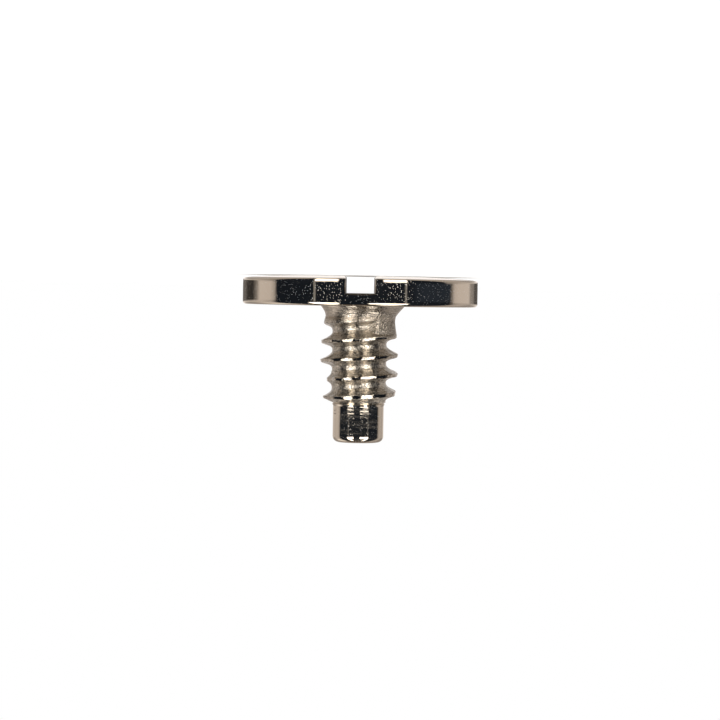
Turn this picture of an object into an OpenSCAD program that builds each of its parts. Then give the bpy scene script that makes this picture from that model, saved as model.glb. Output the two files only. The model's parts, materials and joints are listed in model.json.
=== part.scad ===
// Ratchet wheel screw of a hand-wound watch movement.
// One turned piece: a wide thin head with a driver slot, a short flare under the head,
// a coarse right-hand thread and a plain pilot with a rounded end.
// Millimetres. The screw stands on its head: z = 0 is the flat land of the crown,
// +Z runs along the axis to the tip, and the driver slot lies along Y.

/* [Head] */
// Diameter of the head
head_d = 3.07; // [2.6:0.01:3.6]
// Height from the crown to the seat under the head
head_h = 0.385; // [0.34:0.005:0.6]
// Diameter of the flat land in the middle of the crown
land_d = 1.5; // [1.2:0.1:2]
// How far the crown falls from the land to the rim
crown_drop = 0.035; // [0.01:0.005:0.06]
// Rounding of the upper and lower rim edges
rim_round = 0.04; // [0.015:0.005:0.05]

/* [Driver slot] */
// Width of the slot
slot_w = 0.375; // [0.25:0.005:0.5]
// Depth of the slot below the crown
slot_depth = 0.225; // [0.15:0.005:0.26]

/* [Thread] */
// Outside diameter of the thread
thread_d = 1.02; // [0.98:0.02:1.1]
// Distance from one turn to the next
pitch = 0.25; // [0.2:0.01:0.25]
// Depth of the groove
groove = 0.155; // [0.11:0.005:0.155]
// Distance from the seat to the shoulder where the thread ends
shank_l = 1.275; // [1.2:0.025:1.6]

/* [Flare and pilot] */
// Diameter of the flare where it meets the seat
flare_d = 1.12; // [1.1:0.02:1.3]
// Height over which the flare runs into the neck
flare_h = 0.18; // [0.12:0.01:0.22]
// Diameter of the plain neck that the thread grows out of
neck_d = 0.92; // [0.88:0.02:0.96]
// Diameter of the plain pilot
pilot_d = 0.666; // [0.5:0.002:0.68]
// Length of the pilot beyond the shoulder
pilot_l = 0.515; // [0.3:0.005:0.7]
// Rounding of the pilot's end
tip_round = 0.08; // [0.03:0.01:0.12]
// How much the small collar at the foot of the pilot stands out
collar = 0.012; // [0.008:0.002:0.016]

/* [Hidden] */
$fn = 72;

head_r = head_d / 2;
thread_r = thread_d / 2;
neck_r = neck_d / 2;
pilot_r = pilot_d / 2;
collar_r = pilot_r + collar;
shoulder_z = head_h + shank_l;
tip_z = shoulder_z + pilot_l;

// The thread is drawn as a rod whose skin follows the helix.
steps = 36;
// The thread form along one pitch: the crest is a narrow land that falls a little towards the tip.
land_from = 0.47;
land_to = 0.6;
land_fall = 0.055;
lower_flank = 0.38;
// Places along one pitch where the thread form is taken, from root to root.
form = [0, 0.12, 0.24, 0.35, 0.42, land_from, land_to, 0.64, 0.7, 0.8];
rows = len(form);
// The rod begins inside the head and ends beyond the shoulder.
start_a = 90;
start_z = 0.165 * head_h;
turns = ceil(4 * (shoulder_z + 0.08 - start_z) / pitch) / 4;
last = turns * steps;
// Distances from the seat: the outside grows from the neck to the full thread, and the groove is cut in
// from nothing.
grow_from = 0.11;
grow_l = 0.5;
cut_from = 0.235;
cut_l = 0.14;
// The last turn is turned down in a slight cone, and the thread ends in a steep one.
tail_drop = 0.06;
tail_l = 0.26;
shoulder_slope = 2.3;
// The flare ends just inside the neck.
flare_sink = 0.008;
flare_curve = 1.7;

function smooth(t) = let (u = min(max(t, 0), 1)) u * u * (3 - 2 * u);

// Height of the thread form, 0 at the root and 1 at the crest. Both flanks are hollow, and the flank
// towards the tip is the steeper one.
function fin(w) =
  w < land_from ? pow(w / land_from, 2)
  : w < land_to ? 1 - land_fall * (w - land_from) / (land_to - land_from)
  : (1 - land_fall) * pow(max(0, 1 - (w - land_to) / lower_flank), 3);

// Outside radius along the shank, the radius left by turning down the last turn, and the share of the
// full depth that a groove with its middle at this height has reached.
function outside_at(z) = neck_r + (thread_r - neck_r) * smooth((z - head_h - grow_from) / grow_l);
function tail_at(z) = thread_r - tail_drop * max(0, 1 + (z - shoulder_z) / tail_l);
function cut_at(z) = smooth((z - head_h - cut_from) / cut_l);

function skin(s, w) =
  let (a = start_a + 360 * s / steps)
  let (z = start_z + pitch * (s / steps + w))
  let (middle = start_z + pitch * (s / steps + (w < 0.5 ? 0 : 1)))
  let (depth = (outside_at(z) - thread_r + groove) * cut_at(middle))
  let (r = min(outside_at(z) - depth * (1 - fin(w)), tail_at(z)))
  [r * cos(a), r * sin(a), z];

// Number of a skin point; the top of one turn is the foot of the next.
function at(s, j) =
  j < rows ? s * rows + j
  : s + steps <= last ? (s + steps) * rows
  : (last + 1) * rows + s + steps - last - 1;

module threaded_rod() {
  skin_points = [for (s = [0:last]) for (w = form) skin(s, w)];
  end_edge = [for (s = [last + 1:last + steps]) skin(s, 0)];
  ends = [[0, 0, start_z], [0, 0, start_z + pitch * (turns + 1)]];
  foot = (last + 1) * rows + steps;
  top = foot + 1;
  sides = [
    for (s = [0:last - 1])
      for (j = [0:rows - 1])
        for (t = [[at(s, j), at(s, j + 1), at(s + 1, j + 1)],
                  [at(s, j), at(s + 1, j + 1), at(s + 1, j)]])
          t
  ];
  foot_faces = concat(
    [for (s = [0:steps - 1]) [at(s, 0), at(s + 1, 0), foot]],
    [for (j = [0:rows - 1]) [at(0, j + 1), at(0, j), foot]]
  );
  top_faces = concat(
    [for (s = [last - steps:last - 1]) [at(s + 1, rows), at(s, rows), top]],
    [for (j = [0:rows - 1]) [at(last, j), at(last, j + 1), top]]
  );
  polyhedron(
    points = concat(skin_points, end_edge, ends),
    faces = concat(sides, foot_faces, top_faces)
  );
}

// A coaxial sleeve whose cone turns the end of the thread down to the pilot.
module end_cone() {
  wide = thread_r + 0.12;
  narrow = pilot_r - 0.13;
  rotate_extrude()
    polygon([
      [0, 0.08 * head_h],
      [wide, 0.08 * head_h],
      [wide, shoulder_z - (wide - pilot_r) / shoulder_slope],
      [narrow, shoulder_z + (pilot_r - narrow) / shoulder_slope],
      [0, shoulder_z + (pilot_r - narrow) / shoulder_slope]
    ]);
}

// Points of a rounded corner in the turning profile.
function corner(c, r, from, to, n) =
  [for (i = [0:n]) let (a = from + (to - from) * i / n) [c[0] + r * cos(a), c[1] + r * sin(a)]];

// The turned blank: head, flare, core, collar and pilot. The core stays inside the threaded rod.
module blank() {
  land_r = land_d / 2;
  brow_r = head_r - rim_round;
  core_r = 0.9 * pilot_r;
  crown = [for (i = [0:4]) let (t = i / 4) [land_r + (brow_r - land_r) * t, crown_drop * t * t]];
  foot_r = neck_r - flare_sink;
  flare = [
    for (i = [0:6])
      let (t = i / 6)
        [foot_r + (flare_d / 2 - foot_r) * pow(1 - t, flare_curve), head_h + flare_h * t]
  ];
  rotate_extrude()
    polygon(concat(
      [[0, 0]],
      crown,
      corner([brow_r, crown_drop + rim_round], rim_round, -60, 0, 3),
      corner([brow_r, head_h - rim_round], rim_round, 0, 90, 4),
      flare,
      [[core_r, head_h + flare_h + 0.01]],
      [[core_r, shoulder_z - 0.04], [collar_r, shoulder_z + 0.014], [pilot_r, shoulder_z + 0.04]],
      corner([pilot_r - tip_round, tip_z - tip_round], tip_round, 0, 90, 5),
      [[0, tip_z]]
    ));
}

module driver_slot() {
  translate([-slot_w / 2, -head_d, -1])
    cube([slot_w, 2 * head_d, 1 + slot_depth]);
}

module screw() {
  color([0.78, 0.75, 0.7])
    difference() {
      union() {
        blank();
        intersection() {
          threaded_rod();
          end_cone();
        }
      }
      driver_slot();
    }
}

screw();
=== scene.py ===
# %% [markdown]
# # A ratchet wheel screw
# This screw holds the ratchet wheel on the barrel arbor of a hand-wound watch. It is one turned piece of
# bright steel about three millimetres across: a thin slotted head, a flare, a right-hand thread and a
# plain pilot. The lesson turns it on a lathe made of nodes, gives it a nickel-like finish and lights it
# in a small dark studio with pale walls.

# %% [markdown]
# ## The frame
# The solid screw is already drawn, and it is the master for every size. It could be traced by eye, but
# then the two would drift apart. So it is loaded first, and its sizes are read from it where it carries
# them.

# %% Load the frame
import functools
import json
import math

import bmesh
import bpy
from mathutils import Matrix, Vector


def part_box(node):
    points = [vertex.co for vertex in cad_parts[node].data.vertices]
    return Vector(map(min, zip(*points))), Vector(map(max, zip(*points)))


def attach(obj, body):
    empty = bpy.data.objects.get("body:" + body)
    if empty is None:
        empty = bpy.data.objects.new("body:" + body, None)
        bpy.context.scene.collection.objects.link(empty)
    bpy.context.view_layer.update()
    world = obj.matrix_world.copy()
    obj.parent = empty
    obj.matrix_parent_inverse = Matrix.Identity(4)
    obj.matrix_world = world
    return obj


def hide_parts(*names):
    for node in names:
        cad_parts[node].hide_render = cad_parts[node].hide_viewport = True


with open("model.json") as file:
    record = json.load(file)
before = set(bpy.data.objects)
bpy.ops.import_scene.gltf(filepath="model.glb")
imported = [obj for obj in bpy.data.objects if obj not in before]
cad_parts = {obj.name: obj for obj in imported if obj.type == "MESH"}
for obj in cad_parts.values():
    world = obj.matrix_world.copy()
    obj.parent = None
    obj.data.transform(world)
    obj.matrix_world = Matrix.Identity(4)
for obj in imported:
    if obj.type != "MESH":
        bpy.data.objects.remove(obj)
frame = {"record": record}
scene = bpy.context.scene
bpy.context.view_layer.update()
MM = 0.001

# %% [markdown]
# ## Camera
# The screw stands on its head, because that is how it rests on a bench, but the picture shows it head up.
# So the camera is turned half a turn about its own line of sight. It stands level with the head, which
# hides both flat faces of the head, and looks a little towards the tip. The small extra roll is the lean
# of the screw in the picture. A short lens close by would bow the head's rims, so a long lens stands
# further off.

# %% Set up the camera
PICTURE_SIDE = 720
MM_PER_PIXEL = 0.0131
CAMERA_FAR, CAMERA_HEIGHT, AIM_HEIGHT = 33.0, 0.19, 1.098
SIDESTEP = -0.0113
LEAN = math.radians(0.95)
SENSOR = 36.0


def into_scene(name, data):
    thing = bpy.data.objects.new(name, data)
    scene.collection.objects.link(thing)
    return thing


stand = Vector((SIDESTEP, -CAMERA_FAR, CAMERA_HEIGHT))
sight = (Vector((SIDESTEP, 0.0, AIM_HEIGHT)) - stand).normalized()
right = sight.cross(Vector((0, 0, -1))).normalized()
up = right.cross(sight)
leaning_right = right * math.cos(LEAN) + up * math.sin(LEAN)
leaning_up = up * math.cos(LEAN) - right * math.sin(LEAN)

lens = bpy.data.cameras.new("camera")
lens.sensor_width = SENSOR
lens.lens = CAMERA_FAR / MM_PER_PIXEL * SENSOR / PICTURE_SIDE
lens.clip_start, lens.clip_end = 0.001, 1.0
camera = into_scene("camera", lens)
turned_to = Matrix((leaning_right, leaning_up, -sight)).transposed().to_4x4()
camera.matrix_world = Matrix.Translation(stand * MM) @ turned_to
scene.camera = camera
print("lens", round(lens.lens, 1), "mm")

# %% [markdown]
# ## The turning profile
# A lathe makes anything round from one line: the profile. Each profile point here holds three numbers:
# the radius of the plain blank, the largest radius the thread may have at that height, and the height.
# The line runs from the middle of the crown over the rim, under the head, along the shank and round the
# pilot's end. Points lie close together where the thread runs, because its form is finer than the rest.

# %% Measure the screw in millimetres
def measured(metres):
    return round(metres / MM, 4)


screw_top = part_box("screw")[1]
mounts = {mount["name"]: mount for mount in frame["record"]["mounts"]}
HEAD_R, TIP = measured(screw_top[0]), measured(screw_top[2])
HEAD_H = measured(mounts["head_seat"]["pos_m"][2])
SLOT_DEPTH = measured(mounts["driver_slot"]["pos_m"][2])
THREAD_R = mounts["thread"]["dims"]["r_mm"]
PILOT_R = mounts["pilot"]["dims"]["r_mm"]
LAND_R, CROWN_DROP, RIM = 0.75, 0.035, 0.04
FLARE_R, FLARE_H, NECK_R = 0.56, 0.18, 0.46
GROOVE, PITCH = 0.155, 0.25
SHOULDER, TIP_ROUND, COLLAR = 1.66, 0.08, 0.012
CORE_R = 0.9 * PILOT_R
print("head radius", HEAD_R, "seat at", HEAD_H, "thread radius", THREAD_R, "tip at", TIP, "mm")

# %% Draw the head's half of the profile
BROW = HEAD_R - RIM
CROWN_MEETS_RIM = -84


def spaced(first, last, count):
    return [first + (last - first) * i / count for i in range(count + 1)]


def rounded_corner(middle, radius, start, end, count):
    angles = [math.radians(a) for a in spaced(start, end, count)]
    return [(middle[0] + radius * math.cos(a), 0.0, middle[1] + radius * math.sin(a)) for a in angles]


def crown(r):
    return CROWN_DROP * (max(0.0, r - LAND_R) / (BROW - LAND_R)) ** 2


crown_stops = spaced(0.0, LAND_R, count=8) + spaced(LAND_R, BROW, count=14)[1:]
line = [(r, 0.0, crown(r)) for r in crown_stops]
line += rounded_corner((BROW, CROWN_DROP + RIM), RIM, CROWN_MEETS_RIM, 0, count=10)
line += [(HEAD_R, 0.0, z) for z in spaced(CROWN_DROP + RIM, HEAD_H - RIM, count=8)[1:-1]]
line += rounded_corner((BROW, HEAD_H - RIM), RIM, 0, 90, count=10)
line += [(r, 0.0, HEAD_H) for r in spaced(BROW, FLARE_R, count=12)[1:]]
print("profile points on the head", len(line))

# %% Give the radius along the shank
THREAD_FROM, THREAD_ROW = HEAD_H + 0.02, 0.0055
CONE_FROM, CONE_SLOPE = SHOULDER - 0.12, 2.3
COLLAR_FOOT, COLLAR_TOP, COLLAR_END = SHOULDER - 0.04, SHOULDER + 0.014, SHOULDER + 0.04
PILOT_FROM = SHOULDER + 0.045
FLARE_FOOT, FLARE_CURVE = NECK_R - 0.008, 1.7


def flare_radius(z):
    left = 1 - (z - HEAD_H) / FLARE_H
    return FLARE_FOOT + (FLARE_R - FLARE_FOOT) * left ** FLARE_CURVE if left > 0 else CORE_R


def collar_radius(z):
    rise = CORE_R + (PILOT_R + COLLAR - CORE_R) * (z - COLLAR_FOOT) / (COLLAR_TOP - COLLAR_FOOT)
    fall = PILOT_R + COLLAR * (COLLAR_END - z) / (COLLAR_END - COLLAR_TOP)
    return max(min(rise, fall), PILOT_R if z > COLLAR_TOP else CORE_R)


def shank_point(z):
    end_cone = PILOT_R + CONE_SLOPE * (SHOULDER - z)
    return max(flare_radius(z), collar_radius(z)), end_cone if z >= THREAD_FROM else 0.0, z


print("flare runs from", FLARE_R, "to", round(FLARE_FOOT, 3), "mm")

# %% Draw the shank and the pilot
heights = spaced(HEAD_H, THREAD_FROM, count=4)[1:-1]
heights += spaced(THREAD_FROM, CONE_FROM, count=round((CONE_FROM - THREAD_FROM) / THREAD_ROW))
heights += spaced(CONE_FROM, PILOT_FROM, count=54)[1:]
line += [shank_point(z) for z in heights]
line += [(PILOT_R, 0.0, z) for z in spaced(PILOT_FROM, TIP - TIP_ROUND, count=16)[1:-1]]
line += rounded_corner((PILOT_R - TIP_ROUND, TIP - TIP_ROUND), TIP_ROUND, 0, 90, count=12)
line += [(r, 0.0, TIP) for r in spaced(PILOT_R - TIP_ROUND, 0.0, count=4)[1:]]

profile_mesh = bpy.data.meshes.new("turning_profile")
profile_mesh.from_pydata(line, [(i, i + 1) for i in range(len(line) - 1)], [])
print("profile points in all", len(line))

# %% [markdown]
# ## The slot cutter
# The slot is sawn after turning, and its edges are broken with a fine stone. A plain box would leave
# razor edges, so the cutter is a long trough instead. Its mouth opens by half a right angle along the
# crown and at both ends, which leaves a narrow bevel on every edge of the slot.

# %% Shape one section of the trough
SLOT_W, BROKEN = 0.375, 0.013
MOUTH_LIFT, OVERRUN = 0.2, 0.1
slot_end = math.sqrt(HEAD_R ** 2 - (SLOT_W / 2) ** 2)


def trough(y):
    wider = max(0.0, abs(y) - (slot_end - BROKEN))
    half, bottom = SLOT_W / 2 + wider, SLOT_DEPTH + wider
    mouth = crown(min(abs(y), BROW)) + BROKEN
    lift = MOUTH_LIFT + mouth
    outline = [
        (-half, bottom), (half, bottom), (half, mouth),
        (half + lift, mouth - lift), (-half - lift, mouth - lift), (-half, mouth),
    ]
    return [(x, y, z) for x, z in outline]


print("slot runs", round(2 * slot_end, 3), "mm across the head")

# %% Skin the sections into a cutter
half_way = [LAND_R, 1.0, 1.2, 1.4, slot_end - BROKEN, slot_end + OVERRUN]
sections = [trough(y) for y in [-y for y in reversed(half_way)] + half_way]
corners = len(sections[0])
last_section = corners * (len(sections) - 1)
cutter_faces = [
    tuple(range(corners)),
    tuple(reversed(range(last_section, last_section + corners))),
]
for start in range(0, last_section, corners):
    for j in range(corners):
        k = (j + 1) % corners
        cutter_faces.append((start + j, start + corners + j, start + corners + k, start + k))

cutter_mesh = bpy.data.meshes.new("slot_cutter")
cutter_mesh.from_pydata([p for section in sections for p in section], [], cutter_faces)
outwards = bmesh.new()
outwards.from_mesh(cutter_mesh)
bmesh.ops.recalc_face_normals(outwards, faces=outwards.faces)
outwards.to_mesh(cutter_mesh)
outwards.free()
slot_cutter = into_scene("slot_cutter", cutter_mesh)
print("slot cutter sections", len(sections))

# %% [markdown]
# ## A lathe with a threading tool, in nodes
# The thread could be swept along a spiral curve, but then it would still have to be joined to the blank.
# It is simpler to let one grid become the whole screw: across the grid runs the turn, along it runs the
# profile. Every grid point asks how far along the pitch it lies, looks up the thread form in a curve, and
# takes the larger of blank and thread. The slot is cut last, as on the bench.

# %% Name the lathe's inputs
lathe = bpy.data.node_groups.new("screw_lathe", "GeometryNodeTree")
lathe_inputs = [
    ("Profile", "Geometry", None),
    ("Steps around", "Int", 276),
    ("Pitch", "Float", PITCH),
    ("Thread radius", "Float", THREAD_R),
    ("Groove depth", "Float", GROOVE),
    ("First groove", "Float", 0.501),
    ("Thread wobble", "Float", 0.022),
    ("Flare off centre", "Float", 0.033),
    ("Slot cutter", "Object", None),
    ("Finish", "Material", None),
]
for name, kind, value in lathe_inputs:
    socket = lathe.interface.new_socket(name=name, in_out="INPUT", socket_type="NodeSocket" + kind)
    if value is not None:
        socket.default_value = value
lathe.interface.new_socket(name="Screw", in_out="OUTPUT", socket_type="NodeSocketGeometry")
print("lathe inputs", [name for name, kind, value in lathe_inputs])

# %% [markdown]
# ### Short words for nodes
# A node tree is arithmetic drawn as boxes. Each box could be placed by hand with its links, but a few
# helpers let the script read like a sum. A socket knows the tree it belongs to, so the same helpers serve
# the lathe, the finish and the studio.

# %% Make the node helpers
def feed(socket, source):
    if isinstance(source, bpy.types.NodeSocket):
        source.id_data.links.new(source, socket)
    else:
        socket.default_value = source


def add(tree, kind, inputs=None, **settings):
    node = tree.nodes.new(kind)
    for name, value in settings.items():
        setattr(node, name, value)
    for name, source in (inputs or {}).items():
        feed(node.inputs[name], source)
    return node


def calculate(operation, *sources):
    tree = next(s.id_data for s in sources if isinstance(s, bpy.types.NodeSocket))
    return add(tree, "ShaderNodeMath", dict(enumerate(sources)), operation=operation).outputs[0]


def total(*sources):
    return functools.reduce(lambda first, second: calculate("ADD", first, second), sources)


def product(*sources):
    return functools.reduce(lambda first, second: calculate("MULTIPLY", first, second), sources)


def less(first, second):
    return calculate("SUBTRACT", first, second)


def ramp(value, low, high, to_low=0.0, to_high=1.0, smooth=True):
    ends = {"Value": value, "From Min": low, "From Max": high, "To Min": to_low, "To Max": to_high}
    easing = "SMOOTHSTEP" if smooth else "LINEAR"
    return add(value.id_data, "ShaderNodeMapRange", ends, interpolation_type=easing).outputs["Result"]


given = add(lathe, "NodeGroupInput").outputs
print("helpers ready,", len(lathe_inputs), "inputs to read")

# %% Lay out the grid
MIDDLE = 0.5
counted = add(lathe, "GeometryNodeAttributeDomainSize", {"Geometry": given["Profile"]}, component="MESH")
stations = counted.outputs["Point Count"]
grid = add(lathe, "GeometryNodeMeshGrid", {
    "Size X": 1.0,
    "Size Y": 1.0,
    "Vertices X": total(given["Steps around"], 1.0),
    "Vertices Y": stations,
})
position = add(lathe, "GeometryNodeInputPosition").outputs[0]
place = add(lathe, "ShaderNodeSeparateXYZ", {0: position}).outputs
turn = total(place["X"], MIDDLE)
station = calculate("ROUND", product(total(place["Y"], MIDDLE), less(stations, 1.0)))
print("grid rows", len(line))

# %% Read the profile at every grid point
read = add(
    lathe, "GeometryNodeSampleIndex",
    {"Geometry": given["Profile"], "Value": position, "Index": station},
    data_type="FLOAT_VECTOR", domain="POINT",
)
blank, ceiling, height = add(lathe, "ShaderNodeSeparateXYZ", {0: read.outputs["Value"]}).outputs
print("lathe nodes so far", len(lathe.nodes))

# %% [markdown]
# ### The thread
# The thread is a narrow land with two hollow flanks, and the flank towards the tip is the steeper one. It
# could be a stack of rings, but a thread climbs by one pitch each turn, so the turn is taken away from
# the height and what is left over says where on the form a point lies. This thread doesn't run quite
# true: a wobble shifts the turns at both sides, and a fine chatter keeps the edges from looking ruled.

# %% Find where on the pitch a point lies
UNEVEN_R = 0.45
CHATTER = 0.016
WHOLE_TURNS = 8.0
angle = product(turn, 2 * math.pi)
sideways, forwards = calculate("COSINE", angle), calculate("SINE", angle)
round_place = add(lathe, "ShaderNodeCombineXYZ", {
    "X": product(sideways, UNEVEN_R), "Y": product(forwards, UNEVEN_R), "Z": height,
}).outputs[0]


def mottle(place, scale, detail, fineness=0.5):
    inputs = {"Vector": place, "Scale": scale, "Detail": detail, "Roughness": fineness}
    return add(place.id_data, "ShaderNodeTexNoise", inputs, noise_dimensions="3D").outputs["Fac"]


def unevenness(scale, detail):
    return less(mottle(round_place, scale, detail), MIDDLE)


wobble = product(given["Thread wobble"], calculate("POWER", sideways, 3.0))
chatter = product(unevenness(scale=9.0, detail=0.0), CHATTER)
from_start = less(total(height, wobble, chatter), given["First groove"])
wound = less(calculate("DIVIDE", from_start, given["Pitch"]), turn)
share = calculate("FRACT", total(wound, WHOLE_TURNS))
print("turns of thread", round((SHOULDER - HEAD_H) / PITCH, 1))

# %% Draw the thread form
LAND_FROM, LAND_TO, LAND_FALL, LOWER_FLANK = 0.46, 0.61, 0.055, 0.38
UPPER_STOPS = [0.0, 0.08, 0.16, 0.24, 0.32, 0.38, 0.43, 0.45]
LAND_STOPS = [0.465, 0.54, 0.605]
LOWER_STOPS = [0.62, 0.65, 0.68, 0.74, 0.82, 0.9, 1.0]


def thread_form(w):
    if w < LAND_FROM:
        return (w / LAND_FROM) ** 2
    if w <= LAND_TO:
        return 1 - LAND_FALL * (w - LAND_FROM) / (LAND_TO - LAND_FROM)
    return (1 - LAND_FALL) * max(0.0, 1 - (w - LAND_TO) / LOWER_FLANK) ** 3


form = add(lathe, "ShaderNodeFloatCurve", {"Value": share})
pins = [(w, thread_form(w)) for w in UPPER_STOPS + LAND_STOPS + LOWER_STOPS]
drawn = form.mapping.curves[0].points
drawn[0].location, drawn[1].location = pins[0], pins[-1]
for pin in pins[1:-1]:
    drawn.new(*pin)
form.mapping.update()
fin = form.outputs[0]
print("points on the thread form", len(pins))

# %% Let the groove run in and the last turn run out
GROW_FROM, GROW_L = HEAD_H + 0.11, 0.5
CUT_FROM, CUT_L = HEAD_H + 0.235, 0.05
TAIL_DROP, TAIL_L = 0.06, 0.26
full = given["Thread radius"]
groove_floor = less(full, given["Groove depth"])
outside = ramp(height, GROW_FROM, GROW_FROM + GROW_L, NECK_R, full)
tail = ramp(height, SHOULDER - TAIL_L, SHOULDER, full, less(full, TAIL_DROP), smooth=False)
groove_turns = total(calculate("ROUND", wound), turn)
groove_middle = total(given["First groove"], product(groove_turns, given["Pitch"]))
run_in = ramp(groove_middle, CUT_FROM, CUT_FROM + CUT_L)
print("groove floor radius", round(THREAD_R - GROOVE, 3), "mm")

# %% [markdown]
# ### Marks of making and use
# The screw isn't perfect. One crest is nicked, the crests are uneven, and beside the first groove the
# metal looks torn instead of cut. These marks could be painted on, but they show in the outline, so they
# move the skin itself.

# %% Nick and wear the crests
NICK_AT, NICK_DEPTH = 1.36, 0.09
CREST_WEAR = 0.02


def window(value, middle, half, soft):
    away = calculate("ABSOLUTE", less(value, middle))
    return ramp(away, half, half + soft, 1.0, 0.0)


around = calculate("PINGPONG", angle, math.pi)
nick = product(window(around, 0.0, half=0.55, soft=0.4), window(height, NICK_AT, half=0.08, soft=0.04))
wear = product(unevenness(scale=9.0, detail=2.0), run_in, CREST_WEAR)
edge = total(less(outside, product(nick, NICK_DEPTH)), wear)
cut_depth = product(less(edge, groove_floor), run_in)
thread = calculate("MINIMUM", less(edge, product(cut_depth, less(1.0, fin))), tail)
print("nick", NICK_DEPTH, "mm deep, wear", CREST_WEAR, "mm")

# %% Tear the start of the thread
TORN_TOWARDS, TORN_AT = math.radians(205), 0.63
TORN_R, TORN_GRAIN = 0.458, 0.02
torn = product(
    window(angle, TORN_TOWARDS, half=0.55, soft=0.45), window(height, TORN_AT, half=0.12, soft=0.06),
)
torn_skin = product(total(TORN_R, product(unevenness(scale=60.0, detail=1.0), TORN_GRAIN)), torn)
turned_down = calculate("MINIMUM", calculate("MAXIMUM", thread, torn_skin), ceiling)
radius = calculate("MAXIMUM", blank, turned_down)
print("torn metal stands", TORN_R, "mm from the axis")

# %% [markdown]
# ### Turning the grid
# Now every grid point knows its angle, radius and height, and Set Position winds the sheet into the
# screw. The flare sits a little off centre, so it is moved sideways on its way. Two marks stay on the
# skin for the finish: how high on the thread a point lies, and whether it is torn. The first and last
# column meet at the same place, and merging them closes the seam.

# %% Wind the grid into the screw
SHIFT_FADES, SHIFT_FADED = HEAD_H + 0.02, HEAD_H + 0.22
SHIFT_BELOW, SHIFT_ON_SEAT = 0.005, 0.25
MARK_FROM, MARK_L = HEAD_H + 0.31, 0.03
WELD = 0.0001
at_flare = product(
    ramp(height, HEAD_H - 2 * SHIFT_BELOW, HEAD_H - SHIFT_BELOW),
    ramp(height, SHIFT_FADES, SHIFT_FADED, 1.0, 0.0),
    ramp(blank, FLARE_R, FLARE_R + SHIFT_ON_SEAT, 1.0, 0.0),
)
off_centre = product(given["Flare off centre"], at_flare)
skin = add(lathe, "ShaderNodeCombineXYZ", {
    "X": less(product(radius, sideways), off_centre), "Y": product(radius, forwards), "Z": height,
}).outputs[0]


def mark(mesh, name, value):
    inputs = {"Geometry": mesh, "Name": name, "Value": value}
    stored = add(lathe, "GeometryNodeStoreNamedAttribute", inputs, data_type="FLOAT", domain="POINT")
    return stored.outputs[0]


thread_height = product(fin, ramp(groove_middle, MARK_FROM, MARK_FROM + MARK_L))
marked = mark(mark(grid.outputs["Mesh"], "thread_height", thread_height), "torn", torn)
turned = add(lathe, "GeometryNodeSetPosition", {"Geometry": marked, "Position": skin}).outputs[0]
closed = add(lathe, "GeometryNodeMergeByDistance", {"Geometry": turned, "Distance": WELD}).outputs[0]
print("lathe nodes so far", len(lathe.nodes))

# %% Cut the slot and hand over the screw
blade = add(lathe, "GeometryNodeObjectInfo", {"Object": given["Slot cutter"]}, transform_space="ORIGINAL")
slotted = add(
    lathe, "GeometryNodeMeshBoolean",
    {"Mesh 1": closed, "Mesh 2": blade.outputs["Geometry"]},
    operation="DIFFERENCE", solver="MANIFOLD",
).outputs["Mesh"]
real = add(lathe, "GeometryNodeRealizeInstances", {0: slotted}).outputs[0]
in_metres = add(lathe, "GeometryNodeTransform", {"Geometry": real, "Scale": (MM, MM, MM)}).outputs[0]
smooth = add(lathe, "GeometryNodeSetShadeSmooth", {"Geometry": in_metres}).outputs[0]
coated = add(lathe, "GeometryNodeSetMaterial", {"Geometry": smooth, "Material": given["Finish"]}).outputs[0]
add(lathe, "NodeGroupOutput", {"Screw": coated})
print("lathe nodes", len(lathe.nodes))

# %% [markdown]
# ## The finish
# Nickel plate shows a warm grey of its own, and everything else it shows is the room. A single colour
# would look like plastic, so the work goes into the surface: the head and the pilot are polished, with a
# few pits, the flat faces keep the rings of the turning tool, and the thread keeps the grain of the cut
# and a thin dull film in its grooves. All patterns are read in millimetres from the screw's own axis.

# %% Find the thread, the pilot and the flat faces
SHANK_STARTS, FLARE_ENDS = (HEAD_H - 0.01, HEAD_H + 0.03), (HEAD_H + 0.16, HEAD_H + 0.24)
PILOT_STARTS = (SHOULDER - 0.03, SHOULDER + 0.02)
SHANK_SIDE = (0.60, 0.70)
FACE_NEAR, FACE_FAR = 0.001, 0.004
nickel = bpy.data.materials.new("nickel_plate")
nickel.use_nodes = True
finish = nickel.node_tree
plate = finish.nodes["Principled BSDF"]


def distance(first, second):
    return calculate("SQRT", total(calculate("POWER", first, 2.0), calculate("POWER", second, 2.0)))


where = add(finish, "ShaderNodeTexCoord").outputs["Object"]
millimetres = add(finish, "ShaderNodeVectorMath", {0: where, "Scale": 1 / MM}, operation="SCALE").outputs[0]
out_x, out_y, up_shank = add(finish, "ShaderNodeSeparateXYZ", {0: millimetres}).outputs
across = distance(out_x, out_y)
below_head = ramp(up_shank, *SHANK_STARTS)
before_pilot = ramp(up_shank, *PILOT_STARTS, 1.0, 0.0)
on_thread = product(below_head, before_pilot, ramp(across, *SHANK_SIDE, 1.0, 0.0))
on_pilot = less(1.0, before_pilot)
by_head = ramp(up_shank, *FLARE_ENDS, 1.0, 0.0)
from_seat = calculate("ABSOLUTE", less(up_shank, HEAD_H))
on_seat = ramp(from_seat, FACE_NEAR, FACE_FAR, 1.0, 0.0)
on_face = total(on_seat, ramp(up_shank, TIP - FACE_FAR, TIP - FACE_NEAR))
fin_height = add(finish, "ShaderNodeAttribute", attribute_name="thread_height").outputs["Fac"]
torn_here = add(finish, "ShaderNodeAttribute", attribute_name="torn").outputs["Fac"]
print("places found with", len(finish.nodes), "nodes")

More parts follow.
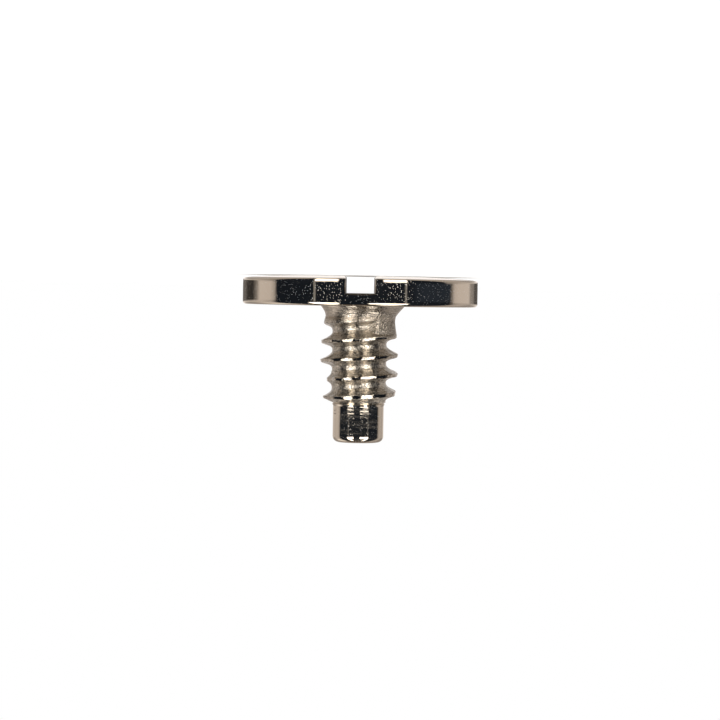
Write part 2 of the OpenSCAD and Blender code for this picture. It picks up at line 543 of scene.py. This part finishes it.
# %% [markdown]
# ### Tool marks and pits
# A cutting tool leaves lines that run round the work, so noise is squeezed along the axis to draw them:
# coarse ones on the thread, fine ones on the pilot, and rings on the flat faces. Pits are pinpricks in
# the polish. A noise cut off at a level would give blots, so the pits are cells with a dot in the middle,
# and only some show.

# %% Draw the tool marks
GRAIN_SQUEEZE, LINE_SQUEEZE = (5.0, 5.0, 42.0), (2.5, 2.5, 32.0)
RINGS = {"Scale": 45.0, "Detail": 3.0}


def squeezed(factors):
    inputs = {0: millimetres, 1: factors}
    return add(finish, "ShaderNodeVectorMath", inputs, operation="MULTIPLY").outputs[0]


grain = mottle(squeezed(GRAIN_SQUEEZE), scale=1.0, detail=3.0, fineness=0.6)
lines = mottle(squeezed(LINE_SQUEEZE), scale=1.0, detail=4.0)
rings = add(finish, "ShaderNodeTexNoise", {"W": across, **RINGS}, noise_dimensions="1D").outputs["Fac"]
stain = mottle(millimetres, scale=48.0, detail=2.0)
patches = mottle(millimetres, scale=30.0, detail=1.5)
ripple = mottle(millimetres, scale=7.0, detail=2.0)
print("rings", RINGS["Scale"], "to the millimetre")

# %% Prick the pits
PITS_PER_MM = 80.0
PIT_SHOWS = (0.58, 1.0)
PIT_CORE, PIT_EDGE = 0.10, 0.30
cells = add(
    finish, "ShaderNodeTexVoronoi", {"Vector": millimetres, "Scale": PITS_PER_MM},
    voronoi_dimensions="3D", feature="F1",
)
draw = add(finish, "ShaderNodeSeparateColor", {0: cells.outputs["Color"]}).outputs[0]
pit = product(ramp(cells.outputs["Distance"], PIT_CORE, PIT_EDGE, 1.0, 0.0), ramp(draw, *PIT_SHOWS))
print("pit cells", PITS_PER_MM, "to the millimetre")

# %% [markdown]
# ### Gloss, colour, film and relief
# The polish is nearly a mirror, the cut thread is duller, and its crests are bright again. A dull film
# lies in the grooves, which look less like bare metal, so there the metal fades by a patchy share. Relief
# this fine would need millions of faces, so it is a bump about a hundredth of a millimetre deep.

# %% Set the gloss
THREAD_GLOSS, CREST_GLOSS = (0.11, 0.17), (1.0, 0.45)
TORN_DULL, FLARE_DULL, PIT_DULL = 0.04, 0.06, 0.48
POLISH, RING_DULL = 0.045, (0.13, 0.27)
GRAIN_SPAN, RING_SPAN, CREST_SPAN = (0.3, 0.7), (0.35, 0.65), (0.80, 0.94)
crest_polish = ramp(fin_height, *CREST_SPAN, *CREST_GLOSS)
cut_gloss = product(ramp(grain, *GRAIN_SPAN, *THREAD_GLOSS), crest_polish)
cut_gloss = total(cut_gloss, product(torn_here, TORN_DULL), product(by_head, FLARE_DULL))
roughness = total(
    product(cut_gloss, on_thread),
    product(less(1.0, on_thread), POLISH),
    product(on_face, ramp(rings, *RING_SPAN, *RING_DULL)),
    product(pit, PIT_DULL),
)
feed(plate.inputs["Roughness"], roughness)
print("roughness from", POLISH, "on the polish to", THREAD_GLOSS[1], "on the thread")

# %% Mix the colour
CUT_PALE, CUT_DARK = (0.66, 0.60, 0.52, 1.0), (0.29, 0.266, 0.232, 1.0)
STAIN_SPAN = (0.35, 0.65)
FLARE_TINT, FLARE_SHARE = (0.45, 0.395, 0.335, 1.0), 0.6
PLATE_TINT, FACE_TINT = (0.66, 0.59, 0.50, 1.0), (0.57, 0.51, 0.435, 1.0)
PIT_TINT = (0.70, 0.74, 0.80, 1.0)


def blend(share, first, second, **settings):
    inputs = {"Factor": share, 6: first, 7: second}
    return add(share.id_data, "ShaderNodeMix", inputs, data_type="RGBA", **settings).outputs[2]


speckled = blend(ramp(stain, *STAIN_SPAN), CUT_PALE, CUT_DARK)
speckled = blend(product(by_head, FLARE_SHARE), speckled, FLARE_TINT)
polished = blend(pit, blend(on_face, PLATE_TINT, FACE_TINT), PIT_TINT)
feed(plate.inputs["Base Color"], blend(on_thread, polished, speckled))
print("plate colour", PLATE_TINT[:3])

# %% Lay the film in the grooves
FILM, PILOT_FILM, PIT_FILM = (0.01, 0.25), (0.005, 0.06), 0.6
TORN_FILM, FLARE_FILM = 0.2, 0.35
GROOVE_SPAN, PATCH_SPAN, LINE_SPAN = (0.70, 0.88), (0.38, 0.62), (0.48, 0.68)
in_groove = product(
    on_thread,
    ramp(fin_height, *GROOVE_SPAN, 1.0, 0.0),
    ramp(torn_here, 0.0, 1.0, 1.0, TORN_FILM),
    ramp(by_head, 0.0, 1.0, 1.0, FLARE_FILM),
)
matt = total(
    product(ramp(patches, *PATCH_SPAN, *FILM), in_groove),
    product(pit, PIT_FILM),
    product(on_pilot, ramp(lines, *LINE_SPAN, *PILOT_FILM)),
)
feed(plate.inputs["Metallic"], less(1.0, matt))
print("film takes up to", FILM[1], "of the metal in the grooves")

# %% Raise the relief
GRAIN_RISE, RIPPLE_RISE, PIT_RISE, TORN_RISE, RING_RISE = 1.05, 0.05, -0.03, 2.0, 0.10
LINE_RISE, LINE_FADES = (0.24, 0.035), (SHOULDER + 0.05, SHOULDER + 0.24)
CREST_GRAIN = 0.15
RELIEF = 0.012
off_crest = ramp(fin_height, *CREST_SPAN, 1.0, CREST_GRAIN)
relief = total(
    product(grain, product(on_thread, off_crest, GRAIN_RISE)),
    product(ripple, RIPPLE_RISE),
    product(pit, PIT_RISE),
    product(stain, torn_here, TORN_RISE),
    product(rings, on_face, RING_RISE),
    product(lines, on_pilot, ramp(up_shank, *LINE_FADES, *LINE_RISE)),
)
bump = add(finish, "ShaderNodeBump", {"Strength": 1.0, "Distance": RELIEF * MM, "Height": relief})
feed(plate.inputs["Normal"], bump.outputs["Normal"])
print("finish nodes", len(finish.nodes))

# %% [markdown]
# ## Turning the screw
# The lathe only describes the work so far. Hung on the profile as a modifier it makes the screw, and the
# result is kept as a plain mesh, so that nothing depends on the lathe any more. Smooth shading would
# smear the edges of the slot, so edges that turn by more than forty degrees stay crisp. Then the screw
# takes the solid's place.

# %% Turn the screw
CRISP = math.radians(40)
blank_object = into_scene("turning_profile", profile_mesh)
work = blank_object.modifiers.new("lathe", "NODES")
work.node_group = lathe
identifiers = {item.name: item.identifier for item in lathe.interface.items_tree}
work[identifiers["Finish"]] = nickel
work[identifiers["Slot cutter"]] = slot_cutter
bpy.context.view_layer.update()
seen = blank_object.evaluated_get(bpy.context.evaluated_depsgraph_get())
screw_mesh = bpy.data.meshes.new_from_object(seen)
screw_mesh.name = "screw_turned"
bpy.data.objects.remove(blank_object)
bpy.data.objects.remove(slot_cutter)
# The cut leaves an empty material slot behind.
screw_mesh.materials.clear()
screw_mesh.materials.append(nickel)
screw_mesh.polygons.foreach_set("material_index", [0] * len(screw_mesh.polygons))
screw_mesh.set_sharp_from_angle(angle=CRISP)
screw_mesh.calc_loop_triangles()
print("screw triangles", len(screw_mesh.loop_triangles))

# %% Put the screw in place of the solid
screw = into_scene("screw_turned", screw_mesh)
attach(screw, "root")
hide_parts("screw")
print("screw stands at", list(screw.location))

# %% [markdown]
# ## Floor and soft lamp
# The floor is a plain pale sheet under the head. Light strong enough to make it white would drown its
# shadow, so a soft lamp lights it to a plain level, and it glows a little to the camera alone. The metal
# doesn't see the floor or the lamp: what it mirrors comes from the studio below.

# %% Lay the floor
FLOOR = 0.06
FLOOR_GLOW = 0.21
PAPER = {
    "Base Color": (0.8, 0.8, 0.8, 1.0),
    "Roughness": 0.9,
    "Specular IOR Level": 0.0,
    "Emission Color": (1.0, 1.0, 1.0, 1.0),
}
floor_mesh = bpy.data.meshes.new("floor")
floor_corners = [(-FLOOR, -FLOOR, 0), (FLOOR, -FLOOR, 0), (FLOOR, FLOOR, 0), (-FLOOR, FLOOR, 0)]
floor_mesh.from_pydata(floor_corners, [], [(0, 1, 2, 3)])
floor = into_scene("floor", floor_mesh)
floor.visible_glossy = False

paper = bpy.data.materials.new("pale_paper")
paper.use_nodes = True
sheet = paper.node_tree.nodes["Principled BSDF"]
for name, value in PAPER.items():
    feed(sheet.inputs[name], value)
seen_by = add(paper.node_tree, "ShaderNodeLightPath").outputs
feed(sheet.inputs["Emission Strength"], product(seen_by["Is Camera Ray"], FLOOR_GLOW))
floor_mesh.materials.append(paper)
print("floor", 2 * FLOOR, "m wide")

# %% Hang the soft lamp
LAMP_POWER, LAMP_SIZE, LAMP_HEIGHT = 0.21, 0.2, 0.2
soft_lamp = bpy.data.lights.new("soft_lamp", "AREA")
soft_lamp.energy, soft_lamp.size = LAMP_POWER, LAMP_SIZE
lamp = into_scene("soft_lamp", soft_lamp)
lamp.location = (0.0, 0.0, LAMP_HEIGHT)
lamp.visible_camera = False
lamp.visible_glossy = False
print("soft lamp", LAMP_POWER, "W")

# %% [markdown]
# ## The studio
# Polished metal is a mirror, so its look is the room it stands in. The camera sees a white sheet behind
# the screw. The screw itself sees a dark room behind the camera, pale walls at both sides and two lamp
# panels on each side of the lens, one above and one below. Real lamps and cards could be hung round the
# screw, but so close by each would also shade the floor, so the room is written as a colour for each
# direction.

# %% Read the direction of a ray
studio = bpy.data.worlds.new("studio")
scene.world = studio
studio.use_nodes = True
room = studio.node_tree
background = room.nodes["Background"]
ray = add(room, "ShaderNodeTexCoord").outputs["Generated"]
gaze = add(room, "ShaderNodeSeparateXYZ", {0: ray}).outputs
to_right, to_lens, to_head = (product(gaze[axis], -1.0) for axis in ("X", "Y", "Z"))
compass = calculate("DEGREES", calculate("ARCTAN2", to_right, to_lens))
tilt = calculate("DEGREES", calculate("ARCSINE", to_head))
beside, steep = calculate("ABSOLUTE", compass), calculate("ABSOLUTE", tilt)
print("compass 0 looks to the lens, tilt 90 past the head")

# %% Paint the walls at the height of the head
DARK, WARM, CREAM = (0.012, 0.016, 0.023), (0.78, 0.71, 0.66), (0.78, 0.74, 0.71)


def walls(stops):
    node = add(room, "ShaderNodeValToRGB", {0: ramp(compass, -180.0, 180.0, smooth=False)})
    marks = node.color_ramp.elements
    while len(marks) < len(stops):
        marks.new(0.5)
    for wall_mark, (degrees, colour, amount) in zip(marks, stops):
        wall_mark.position = (degrees + 180.0) / 360.0
        wall_mark.color = (*(amount * c for c in colour), 1.0)
    return node.outputs["Color"]


level = walls([
    (-180, WARM, 0.25), (-152, WARM, 0.20), (-145, WARM, 0.07), (-130, WARM, 0.05), (-122, WARM, 0.35),
    (-115, WARM, 0.97), (-98, WARM, 0.93), (-92, WARM, 0.65), (-89, DARK, 1.0), (-60, DARK, 1.0),
    (50, DARK, 1.0), (62, DARK, 2.2), (98, DARK, 2.2), (101, WARM, 0.3), (105, WARM, 0.85),
    (112, WARM, 0.95), (132, WARM, 0.95), (138, WARM, 0.45), (147, WARM, 0.35), (152, WARM, 0.12),
    (180, WARM, 0.2),
])
print("walls start with", len(room.nodes), "nodes")

# %% Paint the walls below and above the head
low = walls([
    (-180, WARM, 1.25), (-152, WARM, 0.9), (-130, WARM, 0.8), (-112, WARM, 0.9), (-96, WARM, 0.7),
    (-89, DARK, 1.0), (-60, DARK, 1.0), (60, DARK, 1.0), (96, DARK, 1.0), (100, WARM, 0.15),
    (106, WARM, 0.6), (118, WARM, 0.75), (136, WARM, 0.65), (152, WARM, 0.9), (180, WARM, 1.25),
])
high = walls([
    (-180, CREAM, 1.42), (-140, WARM, 0.95), (-110, WARM, 0.62), (-95, WARM, 0.5), (-89, DARK, 1.0),
    (89, DARK, 1.0), (95, WARM, 0.5), (110, WARM, 0.62), (140, WARM, 0.95), (180, CREAM, 1.42),
])
print("walls painted with", len(room.nodes), "nodes")

# %% Join the walls, the back, the ground and the ceiling
LOW_FROM, HIGH_FROM = (-0.7, -2.2), (1.0, 3.5)
BACK_COMPASS, BACK_TILT, BACK_SHARE = (122.0, 145.0), (7.0, 14.0), 0.6
GROUND_FROM, CEILING_FROM = (-55.0, -68.0), (60.0, 72.0)
BACK, GROUND, CEILING = (0.17, 0.155, 0.14, 1.0), (0.12, 0.10, 0.08, 1.0), (0.06, 0.055, 0.05, 1.0)
room_colour = blend(ramp(tilt, *LOW_FROM), level, low)
room_colour = blend(ramp(tilt, *HIGH_FROM), room_colour, high)
behind = product(ramp(beside, *BACK_COMPASS), ramp(steep, *BACK_TILT))
room_colour = blend(product(behind, BACK_SHARE), room_colour, BACK)
room_colour = blend(ramp(tilt, *GROUND_FROM), room_colour, GROUND)
room_colour = blend(ramp(tilt, *CEILING_FROM), room_colour, CEILING)
print("room joined with", len(room.nodes), "nodes")

# %% [markdown]
# ### Lamp panels
# The white strips on the head, the bright columns on the thread and the spots on the pilot's end are all
# mirror images of these lamps. A mirror doubles angles, so the upper pair and the gap for the lens are
# placed by half the ray's angle, which is the way the metal itself faces. A weak strip draws the thin
# line on the rim, and a pale card brightens the flare on one side.

# %% Place the upper pair and the lower frame
UPPER_LEFT, UPPER_RIGHT, UPPER_TILT = (-22.0, -10.8), (11.5, 22.8), (2.2, 40.0)
BAR, BAR_TILT = (-51.0, 48.0), (-33.0, -7.0)
LEFT_POST, RIGHT_POST, POST_TILT = (-51.0, -36.0), (36.0, 48.0), (-74.0, -12.0)
LENS_GAP = (-10.3, 4.3)


def between(value, ends, soft):
    low_end, high_end = ends
    rise = ramp(value, low_end - soft, low_end + soft)
    return product(rise, ramp(value, high_end - soft, high_end + soft, 1.0, 0.0))


half_depth = total(to_lens, 1.0)
half_turn = calculate("DEGREES", calculate("ARCTAN2", to_right, half_depth))
half_tilt = calculate("DEGREES", calculate("ARCTAN2", to_head, distance(to_right, half_depth)))
upper_pair = total(between(half_turn, UPPER_LEFT, soft=0.7), between(half_turn, UPPER_RIGHT, soft=0.7))
upper_lamps = product(upper_pair, between(half_tilt, UPPER_TILT, soft=0.8))
bar = product(between(compass, BAR, soft=1.5), between(tilt, BAR_TILT, soft=1.5))
posts = total(between(compass, LEFT_POST, soft=1.5), between(compass, RIGHT_POST, soft=1.5))
posts = product(posts, between(tilt, POST_TILT, soft=1.5))
lower_lamps = product(calculate("MAXIMUM", bar, posts), less(1.0, between(half_turn, LENS_GAP, soft=0.8)))
print("upper panels", round(UPPER_LEFT[1] - UPPER_LEFT[0], 1), "half degrees wide")

# %% Add the strip and the card, and light the room
STRIP, STRIP_TILT = (44.0, 46.0), (8.0, 12.0)
CARD, CARD_TILT = (-134.0, -104.0), (-60.0, -30.0)
PANEL_LIGHT, STRIP_LIGHT, CARD_LIGHT = 4.8, 0.3, 0.42
LAMP_TINT = (1.0, 0.96, 0.90, 1.0)
strip = product(between(beside, STRIP, soft=0.8), ramp(steep, *STRIP_TILT, 1.0, 0.0))
card = product(between(compass, CARD, soft=5.0), between(tilt, CARD_TILT, soft=5.0))
lamp_light = total(
    product(total(upper_lamps, lower_lamps), PANEL_LIGHT),
    product(strip, STRIP_LIGHT),
    product(card, CARD_LIGHT),
)
lit_room = blend(lamp_light, room_colour, LAMP_TINT, blend_type="ADD", clamp_factor=False)
print("lamp panels", PANEL_LIGHT, "times as bright as white paper")

# %% Show white to the camera, soft grey to the floor and the room to the metal
WHITE, SOFT_GREY = (1.0, 1.0, 1.0, 1.0), (0.5, 0.5, 0.5, 1.0)
rays = add(room, "ShaderNodeLightPath").outputs
to_metal = blend(rays["Is Diffuse Ray"], lit_room, SOFT_GREY)
feed(background.inputs["Color"], blend(rays["Is Camera Ray"], to_metal, WHITE))
scene.view_settings.view_transform = "Standard"
print("studio nodes", len(room.nodes))
